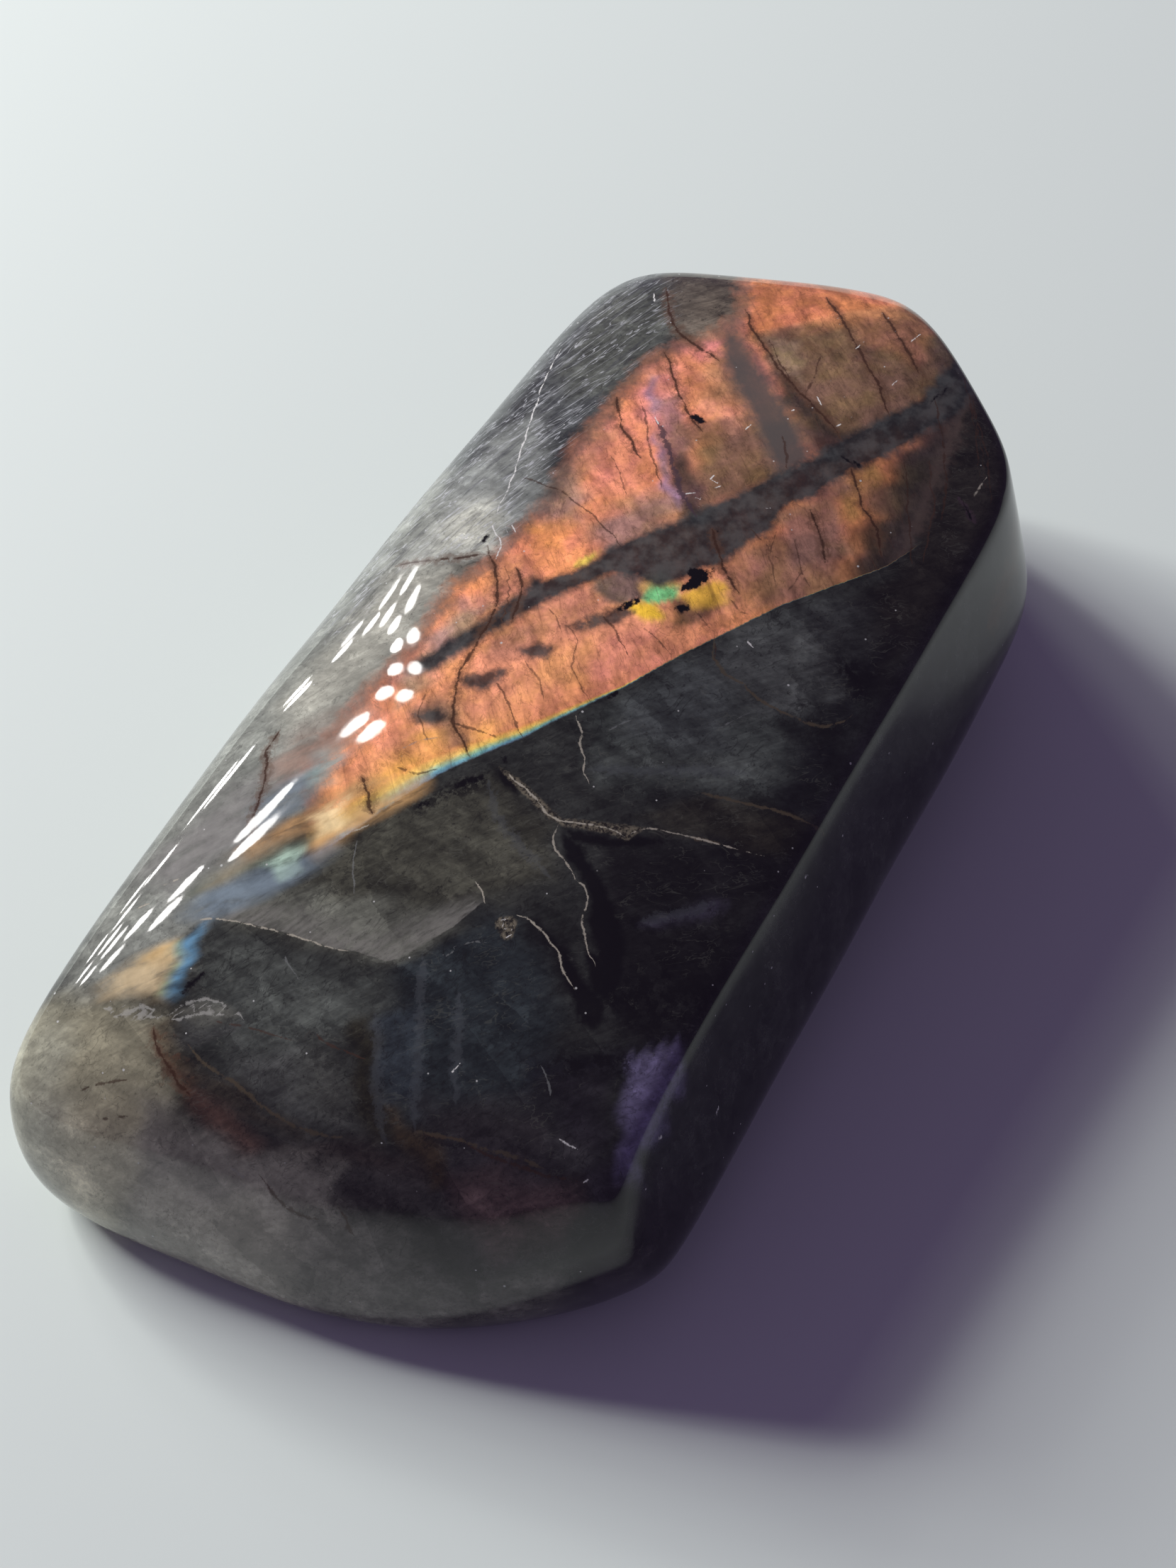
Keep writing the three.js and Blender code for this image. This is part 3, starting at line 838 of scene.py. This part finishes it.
# spectrum along the lower edge of the colour play, from the edge up
SPECTRUM = [
    (0.0, (0.12, 0.24, 0.34, 1)),
    (0.2, (0.20, 0.46, 0.50, 1)),
    (0.4, (0.45, 0.60, 0.32, 1)),
    (0.6, (0.95, 0.66, 0.17, 1)),
    (1.0, (1.0, 0.45, 0.13, 1)),
]
# tints that the colour play drifts between
PINKER = (1.0, 0.95, 1.10, 1)
GOLDER = (1.0, 1.05, 0.88, 1)

# colours of the rock and its flaws
BLACK = (0.004, 0.004, 0.004, 1)
NEAR_BLACK = (0.008, 0.008, 0.008, 1)
GROUND_TINT = (1.0, 1.0, 0.86, 1)
PALE_VEIN = (0.14, 0.145, 0.14, 1)
LIT_PLANE = (0.215, 0.210, 0.190, 1)
RUBBLE_DARK = (0.014, 0.012, 0.009, 1)
RUBBLE_PALE = (0.20, 0.175, 0.125, 1)
SEAM_BROWN = (0.10, 0.042, 0.022, 1)
FRINGE_BROWN = (0.13, 0.09, 0.075, 1)
STAIN_BROWN = (0.100, 0.050, 0.028, 1)
ARM_GREY = (0.082, 0.074, 0.068, 1)
BAND_DARK = (0.013, 0.016, 0.017, 1)
BAND_PALE = (0.062, 0.067, 0.065, 1)
STROKE_DARK = (0.040, 0.042, 0.050, 1)
STROKE_PALE = (0.42, 0.44, 0.47, 1)
WISP_PALE = (0.55, 0.57, 0.60, 1)
SPECK_PALE = (0.55, 0.56, 0.55, 1)
# bright specks: cells to a millimetre, and a speck's radius as a share of its cell
SPECKS = [(0.62, 0.075), (0.95, 0.08)]

# how strongly labradorite bends light
FELDSPAR_IOR = 1.56
# the polish's slight unevenness: its strength, and its height in metres
RIPPLE = 0.006
RIPPLE_HEIGHT = 0.0004
# turns of the feldspar's layers and of its cleavage, in degrees
LAMELLA_TURN = 31.8
CLEAVAGE_TURN = -45.8
# waves that make painted outlines uneven: size, heading in radians, and length, in millimetres
OUTLINE_WAVES = [(0.30, 0.4, 5.3), (0.22, 1.9, 3.1), (0.12, 3.3, 2.1)]
# two places past the stone, in millimetres, that close the side above the colour play's lower edge
BEYOND_STONE = [(-80, 60), (80, 60)]
# height in millimetres of a traced point that misses the stone
PAST_EDGE_HEIGHT = 18.0


def segment_distances(points, line, closed):
    """Offset from each point to the nearest place on a line, and how far along it that is, from 0 to 1."""
    line = np.asarray(line, float)
    starts = line if closed else line[:-1]
    ends = np.roll(line, -1, axis=0) if closed else line[1:]
    lengths = np.linalg.norm(ends - starts, axis=1)
    so_far = np.concatenate([[0], np.cumsum(lengths)[:-1]]) / lengths.sum()
    best = np.full(len(points), np.inf)
    offset = np.zeros((len(points), 2))
    along = np.zeros(len(points))
    for start, end, length, before in zip(starts, ends, lengths, so_far):
        step = end - start
        part = np.clip(((points - start) @ step) / max(length ** 2, 1e-9), 0, 1)
        gap = start + part[:, None] * step - points
        distance = (gap ** 2).sum(1)
        nearer = distance < best
        best[nearer] = distance[nearer]
        offset[nearer] = gap[nearer]
        along[nearer] = before + part[nearer] * length / lengths.sum()
    return offset, along


def inside(points, outline):
    outline = np.asarray(outline, float)
    crossings = np.zeros(len(points), bool)
    for a, b in zip(outline, np.roll(outline, -1, axis=0)):
        if a[1] == b[1]:
            continue
        spans = (a[1] > points[:, 1]) != (b[1] > points[:, 1])
        where = a[0] + (points[:, 1] - a[1]) / (b[1] - a[1]) * (b[0] - a[0])
        crossings ^= spans & (points[:, 0] < where)
    return crossings


def signed_distance(points, line, closed, region):
    """Millimetres from a line, negative outside the outline of a region."""
    offset, _ = segment_distances(points, line, closed)
    distance = np.linalg.norm(offset, axis=1)
    return np.where(inside(points, region), distance, -distance)


def outline_depth(points, outline):
    return signed_distance(points, outline, True, outline)


def deepest(points, carry, outlines):
    return np.max([outline_depth(points, carry(outline)) for outline in outlines], axis=0)


def smooth(value, low, high):
    t = np.clip((value - low) / (high - low), 0, 1)
    return t * t * (3 - 2 * t)


def tracer(mesh):
    """A function that carries a line from the picture's pixels onto the stone's top, in millimetres."""
    corners = [v.co.copy() for v in mesh.vertices]
    tree = BVHTree.FromPolygons(corners, [tuple(p.vertices) for p in mesh.polygons])
    right, above, forward = camera_axes()
    eye = Vector((TARGET - forward * DISTANCE) * MM)

    def carry(line):
        places = []
        for x, y in line:
            across = (x - PICTURE[0] / 2) / FOCAL_PIXELS
            down = (y - PICTURE[1] / 2) / FOCAL_PIXELS
            ray = Vector(forward + right * across - above * down).normalized()
            place, _, _, _ = tree.ray_cast(eye, ray)
            if place is None:
                place = eye + ray * ((PAST_EDGE_HEIGHT * MM - eye.z) / ray.z)
            places.append((place.x / MM, place.y / MM))
        return places

    return carry


def line_field(points, carry, lines):
    """Offset to the nearest traced line of a set, crack or painted glint, and its strength there: nothing
    past its reach.
    """
    field = np.zeros((len(points), 3))
    best = np.full(len(points), LINE_REACH)
    for line in lines:
        offset, along = segment_distances(points, carry(line), False)
        distance = np.linalg.norm(offset, axis=1)
        nearer = distance < best
        best[nearer] = distance[nearer]
        # a line starts over its first eighth and fades over its last fifth
        taper = smooth(along, -0.05, 0.12) * smooth(1 - along, -0.05, 0.2)
        strength = taper * (1 - smooth(distance, LINE_REACH * 0.6, LINE_REACH))
        field[nearer, :2] = offset[nearer]
        field[nearer, 2] = strength[nearer]
    return field


def wandered(points):
    """Places moved a little by crossing waves, so that what is painted there gets uneven outlines."""
    moved = points.copy()
    for size, turn, pitch in OUTLINE_WAVES:
        heading = np.array([math.cos(turn), math.sin(turn)])
        wave = np.sin(points @ heading * 2 * math.pi / pitch + moved[:, ::-1] @ heading * 1.3)
        moved += size * wave[:, None] * heading[::-1]
    return moved


def stack_patches(points, carry, patches, colour, cover):
    """Soft patches of colour laid over each other: the colour, and how much of it covers the stone."""
    colours = np.tile(np.array(colour), (len(points), 1))
    covers = np.full(len(points), float(cover))
    for tint, softness, strength, outline in patches:
        depth = outline_depth(points, carry(outline))
        share = smooth(depth, -softness / 2, softness / 2) * strength
        total = covers + (1 - covers) * share
        colours += (share / np.maximum(total, 1e-6))[:, None] * (np.array(tint) - colours)
        covers = total
    return np.concatenate([colours, covers[:, None]], 1)


def store(mesh, name, kind, values):
    field = {"FLOAT": "value", "FLOAT_VECTOR": "vector", "FLOAT_COLOR": "color"}[kind]
    attribute = mesh.attributes.new(name, kind, "POINT")
    attribute.data.foreach_set(field, np.ascontiguousarray(values, dtype=np.float32).ravel())


def add_markings(mesh):
    carry = tracer(mesh)
    flat = np.empty(len(mesh.vertices) * 3, dtype=np.float32)
    mesh.vertices.foreach_get("co", flat)
    points = flat.reshape(-1, 3)[:, :2].astype(float) / MM
    edge = carry(LOWER_EDGE)
    above = signed_distance(points, edge, False, edge + BEYOND_STONE)
    store(mesh, "above_edge", "FLOAT", above)
    above = signed_distance(points, carry(PLANE_EDGE), False, carry(PLANE_EDGE + PLANE_SIDE))
    store(mesh, "above_plane_edge", "FLOAT", above)
    shapes = {
        "flash": [FLASH],
        "band": [BAND],
        "band_scraps": BAND_SCRAPS,
        "arm": [ARM],
        "inclusion": INCLUSIONS,
        "wedge": WEDGES,
        "blotch": BLOTCHES,
        "rubble": [RUBBLE, CHIPS],
        "haze": [HAZE],
        "plane": [PLANE],
    }
    for name, outlines in shapes.items():
        store(mesh, name, "FLOAT", deepest(points, carry, outlines))
    for name, (_, _, _, lines) in CRACKS_AND_GLINTS.items():
        store(mesh, name, "FLOAT_VECTOR", line_field(points, carry, lines))
    paints = {
        "ground_and_painted_light_colour": (GROUND_AND_PAINTED_LIGHT_PATCHES, GROUND, 1),
        "flash_colour": (FLASH_PATCHES, FLASH_COLOUR, 1),
        "streak_colour": (LEFT_STREAKS, LEFT_STREAKS[0][0], 0),
    }
    moved = wandered(points)
    for name, (patches, colour, cover) in paints.items():
        store(mesh, name, "FLOAT_COLOR", stack_patches(moved, carry, patches, colour, cover))


class Graph:
    """Short calls that add shader nodes and return their result sockets."""

    def __init__(self, tree):
        self.tree = tree

    def feed(self, socket, value):
        if isinstance(value, bpy.types.NodeSocket):
            self.tree.links.new(value, socket)
        else:
            socket.default_value = value

    def node(self, kind, inputs=None, **settings):
        made = self.tree.nodes.new(kind)
        for name, value in settings.items():
            setattr(made, name, value)
        for name, value in (inputs or {}).items():
            self.feed(made.inputs[name], value)
        return made

    def calc(self, operation, *values):
        made = self.node("ShaderNodeMath", dict(enumerate(values)), operation=operation)
        return made.outputs[0]

    def product(self, *values):
        total = values[0]
        for value in values[1:]:
            total = self.calc("MULTIPLY", total, value)
        return total

    def shifted(self, value, by, amount):
        """A value moved by amount times another."""
        return self.calc("MULTIPLY_ADD", by, amount, value)

    def ramp(self, value, low, high, start=0.0, end=1.0):
        inputs = {"Value": value, "From Min": low, "From Max": high, "To Min": start, "To Max": end}
        return self.node("ShaderNodeMapRange", inputs, interpolation_type="SMOOTHSTEP").outputs["Result"]

    def mix(self, share, first, second, how="MIX"):
        """Two colours mixed. The Mix node's colour sockets are 6 and 7, and its colour result is 2."""
        made = self.node("ShaderNodeMix", data_type="RGBA", blend_type=how)
        self.feed(made.inputs[0], share)
        self.feed(made.inputs[6], first)
        self.feed(made.inputs[7], second)
        return made.outputs[2]

    def scaled(self, colour, factor):
        grey = self.node("ShaderNodeCombineColor", {"Red": factor, "Green": factor, "Blue": factor})
        return self.mix(1.0, colour, grey.outputs["Color"], "MULTIPLY")

    def noise(self, place, scale, detail=3.0, roughness=0.55, distortion=0.0):
        inputs = {"Vector": place, "Scale": scale, "Detail": detail, "Roughness": roughness}
        inputs["Distortion"] = distortion
        return self.node("ShaderNodeTexNoise", inputs).outputs["Fac"]

    def wobble(self, place, scale, size):
        """Noise centred on zero, size high."""
        return self.calc("MULTIPLY", self.calc("SUBTRACT", self.noise(place, scale, 4.0, 0.62), 0.5), size)

    def veins(self, place, scale, width, distortion=0.0):
        """1 along the wandering level lines of a noise, and 0 away from them."""
        level = self.calc("SUBTRACT", self.noise(place, scale, 3.0, 0.6, distortion), 0.5)
        return self.ramp(self.calc("ABSOLUTE", level), 0.0, width, 1.0, 0.0)

    def cells(self, place, scale, feature="F1"):
        inputs = {"Vector": place, "Scale": scale}
        return self.node("ShaderNodeTexVoronoi", inputs, feature=feature).outputs

    def mapped(self, place, scale=(1, 1, 1), turn=0.0):
        """Places turned about the vertical, in degrees, and then scaled along each axis."""
        turned = self.node("ShaderNodeMapping", {"Vector": place, "Rotation": (0, 0, math.radians(turn))})
        scaled = {"Vector": turned.outputs["Vector"], "Scale": scale}
        return self.node("ShaderNodeMapping", scaled).outputs["Vector"]

    def stored(self, name, output="Fac"):
        return self.node("ShaderNodeAttribute", attribute_name=name).outputs[output]

    def parts(self, vector):
        return self.node("ShaderNodeSeparateXYZ", {"Vector": vector}).outputs


class Grain:
    """Noises of the rock that several layers share."""

    def __init__(self, g):
        metres = g.node("ShaderNodeTexCoord").outputs["Object"]
        self.place = g.mapped(metres, (1000, 1000, 1000))
        self.lamella = g.mapped(self.place, turn=LAMELLA_TURN)
        self.cloud = g.noise(self.place, 0.10, 3, 0.5)
        self.mottle = g.noise(self.place, 0.42, 5, 0.62, 0.5)
        self.fine = g.noise(self.place, 2.6, 3, 0.6)
        self.bend = g.wobble(self.place, 1.1, 1.0)
        self.fine_bend = g.wobble(self.place, 2.8, 0.35)
        sway = g.shifted(g.noise(self.place, 0.7, 1.0, 0.5), g.noise(self.place, 4.0, 2.0, 0.5), 0.22)
        self.sway = g.calc("MULTIPLY", g.calc("SUBTRACT", sway, MEAN_SWAY), SWAY_SIZE)
        normal = g.node("ShaderNodeNewGeometry").outputs["Normal"]
        self.rise = g.parts(normal)[2]


def line_mask(g, grain, name, width):
    """1 on a traced line, a crack or a painted glint, and 0 off it. Its path sways, and its width follows
    its strength and a noise.
    """
    x, y, strength = g.parts(g.stored(name, "Vector"))
    x = g.calc("ADD", x, grain.sway)
    y = g.calc("SUBTRACT", y, grain.sway)
    squared = g.calc("ADD", g.product(x, x), g.product(y, y))
    distance = g.calc("SQRT", squared)
    wear = g.ramp(g.noise(grain.place, 1.6, 6, 0.8), 0.36, 0.62, 0.15, 1.5)
    half = g.product(strength, width, wear)
    share = g.calc("SUBTRACT", 1.0, g.calc("DIVIDE", distance, g.calc("MAXIMUM", half, 0.001)))
    return g.calc("MULTIPLY", g.ramp(share, 0.0, 0.7), g.ramp(strength, 0.05, 0.3))


def ground_layer(g, grain):
    """Dark feldspar over its painted patches, a few of them glare, reflection and shade: clouded, with
    cleavage flakes, drifts, feathers, dark pits and thin veins.
    """
    colour = g.stored("ground_and_painted_light_colour", "Color")
    green = g.node("ShaderNodeSeparateColor", {"Color": colour}).outputs["Green"]
    texture = g.ramp(green, 0.05, 0.25, 1.0, 0.6)
    drift = g.noise(g.mapped(grain.place, (1.0, 0.2, 0.5)), 0.9, 5, 0.65)
    feather = g.noise(g.mapped(grain.place, (0.35, 1.6, 1.0), 40), 1.1, 6, 0.7, 0.7)
    stretched = {0: g.mapped(grain.place, (0.5, 0.16, 0.3), 12), 1: grain.bend}
    warped = g.node("ShaderNodeVectorMath", stretched, operation="ADD").outputs[0]
    flakes = g.parts(g.cells(warped, 0.9)["Color"])[0]
    tone = g.product(
        g.ramp(grain.cloud, 0.3, 0.7, 0.82, 1.20),
        g.ramp(grain.mottle, 0.25, 0.75, 0.68, 1.34),
        g.ramp(drift, 0.3, 0.7, 0.74, 1.28),
        g.ramp(grain.fine, 0.25, 0.75, 0.88, 1.12),
        g.ramp(feather, 0.3, 0.7, 0.70, 1.32),
        g.ramp(flakes, 0.0, 1.0, 0.76, 1.24),
    )
    tone = g.shifted(1.0, g.calc("SUBTRACT", tone, 1.0), texture)
    colour = g.scaled(colour, tone)
    pits = g.ramp(g.noise(grain.place, 3.4, 3, 0.6), 0.6, 0.72, 0.0, 0.55)
    colour = g.mix(g.calc("MULTIPLY", pits, texture), colour, NEAR_BLACK)
    patchy = g.ramp(g.noise(grain.place, 0.33, 3, 0.6), 0.42, 0.62)
    pale = g.veins(g.mapped(grain.place, (0.6, 1.4, 1.0), 52), 0.8, 0.02, 0.6)
    dark = g.veins(g.mapped(grain.place, (0.5, 1.2, 1.0), 15), 0.6, 0.02, 0.8)
    elsewhere = g.calc("SUBTRACT", 1.0, patchy)
    colour = g.mix(g.product(dark, elsewhere, texture, 0.5), colour, NEAR_BLACK)
    colour = g.mix(g.product(pale, patchy, texture, 0.22), colour, PALE_VEIN)
    return g.mix(1.0, colour, GROUND_TINT, "MULTIPLY")


def depth_layer(g, grain, colour):
    """The dark rock's marks: a lit cleavage plane under the surface, dark wedges by the cracks, black
    blotches and crushed rubble.
    """
    above = g.shifted(g.stored("above_plane_edge"), grain.fine_bend, 0.5)
    lit = g.ramp(g.shifted(g.stored("plane"), grain.bend, 1.5), -0.6, 0.8)
    fade = g.product(g.ramp(above, -0.02, 0.08), g.ramp(above, 3.2, 0.3), lit)
    streaked = g.noise(g.mapped(grain.place, (0.3, 1.6, 1.0), 30), 1.4, 4, 0.65)
    streaks = g.ramp(streaked, 0.35, 0.65, 0.35, 1.15)
    colour = g.mix(g.product(fade, 0.6, streaks), colour, LIT_PLANE)
    wedge = g.ramp(g.shifted(g.stored("wedge"), grain.bend, 0.9), -0.3, 0.3)
    colour = g.mix(g.calc("MULTIPLY", wedge, 0.95), colour, BLACK)
    broken = g.ramp(g.noise(grain.place, 1.2, 5, 0.7), 0.45, 0.55)
    blotch = g.calc("MULTIPLY", g.ramp(g.stored("blotch"), -1.0, 0.8), broken)
    colour = g.mix(g.calc("MULTIPLY", blotch, 0.9), colour, BLACK)
    crush = g.ramp(g.noise(grain.place, 3.0, 4, 0.7), 0.4, 0.62)
    rubble = g.ramp(g.shifted(g.stored("rubble"), grain.fine_bend, 1.0), -0.12, 0.12)
    crushed = g.mix(crush, RUBBLE_DARK, RUBBLE_PALE)
    return g.mix(g.calc("MULTIPLY", rubble, 0.75), colour, crushed)


def spectrum_colour(g, share):
    """Blue at the edge of the colour play, through green and gold to orange."""
    made = g.node("ShaderNodeValToRGB", {"Fac": share})
    elements = made.color_ramp.elements
    elements.remove(elements[0])
    elements[0].position, elements[0].color = SPECTRUM[-1]
    for position, tint in SPECTRUM[:-1]:
        elements.new(position).color = tint
    return made.outputs["Color"]


def play_colour(g, grain, above):
    """The colour play: orange to copper, mottled and grained, with a spectrum along its lower left edge."""
    # the spectrum is hair thin at the right and widens toward the broad end
    spread = g.ramp(g.parts(grain.lamella)[0], 4.0, -30.0, 0.05, 2.6)
    share = g.calc("DIVIDE", above, spread)
    play = g.mix(g.ramp(share, 0.8, 1.25), spectrum_colour(g, share), g.stored("flash_colour", "Color"))
    cleft = g.noise(g.mapped(grain.place, (0.16, 1.0, 0.5), CLEAVAGE_TURN), 1.1, 4, 0.6)
    clouded = g.noise(g.mapped(grain.place, (0.6, 1.0, 0.5), CLEAVAGE_TURN), 0.55, 4, 0.6, 0.8)
    folds = g.veins(g.mapped(grain.place, (0.35, 0.9, 0.5), CLEAVAGE_TURN), 1.1, 0.022, 0.7)
    ripples = g.veins(g.mapped(grain.place, (0.7, 0.8, 0.5), 20), 1.9, 0.035, 0.4)
    tone = g.product(
        g.ramp(grain.mottle, 0.28, 0.72, 0.78, 1.10),
        g.ramp(grain.fine, 0.28, 0.72, 0.88, 1.08),
        g.ramp(cleft, 0.36, 0.6, 0.82, 1.06),
        g.ramp(folds, 0.0, 1.0, 1.04, 0.76),
        g.ramp(ripples, 0.0, 1.0, 1.04, 0.90),
        g.ramp(clouded, 0.3, 0.7, 0.66, 1.18),
    )
    slabs = g.mapped(grain.place, (0.2, 1.0, 0.5), CLEAVAGE_TURN)
    edges = g.cells(slabs, 0.55, "DISTANCE_TO_EDGE")["Distance"]
    seam = g.ramp(g.shifted(edges, grain.fine_bend, 0.12), 0.0, 0.035, 1.0, 0.0)
    seam = g.product(seam, 0.28, g.ramp(g.noise(grain.place, 0.5, 2, 0.5), 0.42, 0.6))
    warmth = g.ramp(g.noise(grain.place, 0.28, 4, 0.6), 0.35, 0.65)
    hue = g.mix(warmth, PINKER, GOLDER)
    play = g.mix(1.0, g.scaled(play, tone), hue, "MULTIPLY")
    return g.mix(seam, play, SEAM_BROWN)


def play_layer(g, grain, colour):
    """The colour play over the ground, with the grey band, its scraps and the shaded arm."""
    above = g.shifted(g.stored("above_edge"), grain.fine_bend, 0.6)
    edge = g.ramp(above, -0.06, 0.12)
    soft = g.ramp(g.shifted(g.stored("flash"), grain.bend, 2.2), -1.5, 1.5)
    band = g.ramp(g.shifted(g.stored("band"), grain.bend, 1.1), -0.75, 0.3)
    scraps = g.ramp(g.shifted(g.stored("band_scraps"), grain.bend, 1.2), -0.45, 0.4)
    arm = g.ramp(g.shifted(g.stored("arm"), grain.bend, 1.0), -0.9, 0.9)
    facing = g.ramp(grain.rise, 0.2, 0.6)
    shown = g.product(edge, soft, facing)
    fringe = g.calc("MULTIPLY", g.ramp(shown, 0.0, 0.45), g.ramp(shown, 1.0, 0.5))
    colour = g.mix(shown, colour, play_colour(g, grain, above))
    colour = g.mix(g.product(fringe, edge, 0.4), colour, FRINGE_BROWN)
    colour = g.mix(g.product(shown, arm, 0.95), colour, ARM_GREY)
    speckle = g.ramp(g.noise(grain.place, 0.75, 4, 0.55), 0.32, 0.68)
    grey = g.mix(speckle, BAND_DARK, BAND_PALE)
    fade = g.ramp(g.parts(grain.lamella)[0], -24.0, -12.0, 0.4, 0.97)
    colour = g.mix(g.product(shown, scraps, 0.9), colour, grey)
    return g.mix(g.product(edge, band, facing, fade), colour, grey)


def streak_layer(g, grain, colour):
    """Colour play thinned to streaks along the feldspar's layers, on the left slope."""
    drawn = g.noise(g.mapped(grain.lamella, (0.22, 1.3, 1.0), 8), 1.0, 4, 0.6, 0.4)
    cover = g.product(g.stored("streak_colour", "Alpha"), g.ramp(drawn, 0.28, 0.52, 0.5, 1.0))
    tone = g.product(g.ramp(grain.mottle, 0.3, 0.7, 0.8, 1.12), g.ramp(drawn, 0.3, 0.7, 0.85, 1.15))
    return g.mix(cover, colour, g.scaled(g.stored("streak_colour", "Color"), tone))


def flaw_layer(g, grain, colour):
    """Black knots, cracks, painted glints and bright specks."""
    knot = g.ramp(g.shifted(g.stored("inclusion"), grain.fine_bend, 2.1), -0.06, 0.16)
    stain = line_mask(g, grain, "brown_crack", 0.7)
    colour = g.mix(g.calc("MULTIPLY", stain, 0.5), colour, STAIN_BROWN)
    for name, (width, strength, tint, _) in CRACKS_AND_GLINTS.items():
        mask = line_mask(g, grain, name, width)
        colour = g.mix(g.calc("MULTIPLY", mask, strength), colour, (*tint, 1))
    colour = g.mix(knot, colour, BLACK)
    for scale, size in SPECKS:
        dots = g.cells(grain.place, scale)
        chosen = g.ramp(g.parts(dots["Color"])[1], 0.82, 0.86)
        dot = g.product(g.ramp(dots["Distance"], size, size / 2), chosen, 0.8)
        colour = g.mix(dot, colour, SPECK_PALE)
    return colour


def haze_layer(g, grain, colour, haze):
    """Fine pale scratches where the left bevel was only brushed."""
    strokes = g.noise(g.mapped(grain.place, (0.14, 1.5, 0.5), 12), 1.6, 5, 0.65, 0.3)
    wisps = g.veins(g.mapped(grain.place, (0.14, 1.2, 0.5), 20), 1.0, 0.016, 0.4)
    colour = g.mix(g.product(haze, g.ramp(strokes, 0.52, 0.74), 0.36), colour, STROKE_PALE)
    colour = g.mix(g.product(haze, wisps, 0.6), colour, WISP_PALE)
    return g.mix(g.product(haze, g.ramp(strokes, 0.50, 0.34), 0.55), colour, STROKE_DARK)


def stone_material():
    material = bpy.data.materials.new("polished_labradorite")
    material.use_nodes = True
    shader = material.node_tree.nodes["Principled BSDF"]
    g = Graph(material.node_tree)
    grain = Grain(g)
    haze = g.ramp(g.shifted(g.stored("haze"), grain.bend, 2.0), -1.2, 1.2)
    colour = depth_layer(g, grain, ground_layer(g, grain))
    colour = haze_layer(g, grain, colour, haze)
    colour = play_layer(g, grain, colour)
    colour = streak_layer(g, grain, colour)
    g.feed(shader.inputs["Base Color"], flaw_layer(g, grain, colour))
    polish = g.ramp(g.noise(grain.place, 0.35, 4, 0.6), 0.3, 0.7, 0.025, 0.05)
    brushed = g.ramp(grain.mottle, 0.3, 0.7, 0.16, 0.30)
    g.feed(shader.inputs["Roughness"], g.shifted(polish, haze, brushed))
    shader.inputs["IOR"].default_value = FELDSPAR_IOR
    ripple = {"Height": g.noise(grain.place, 0.8, 2, 0.5), "Strength": RIPPLE, "Distance": RIPPLE_HEIGHT}
    g.feed(shader.inputs["Normal"], g.node("ShaderNodeBump", ripple).outputs["Normal"])
    return material


def make_stone():
    mesh = stone_mesh()
    add_markings(mesh)
    mesh.materials.append(stone_material())
    stone = bpy.data.objects.new("stone", mesh)
    bpy.context.scene.collection.objects.link(stone)
    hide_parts("labradorite")
    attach(stone, "root")


make_camera()
make_floor()
make_lights()
make_stone()
bpy.context.scene.view_settings.view_transform = "Standard"
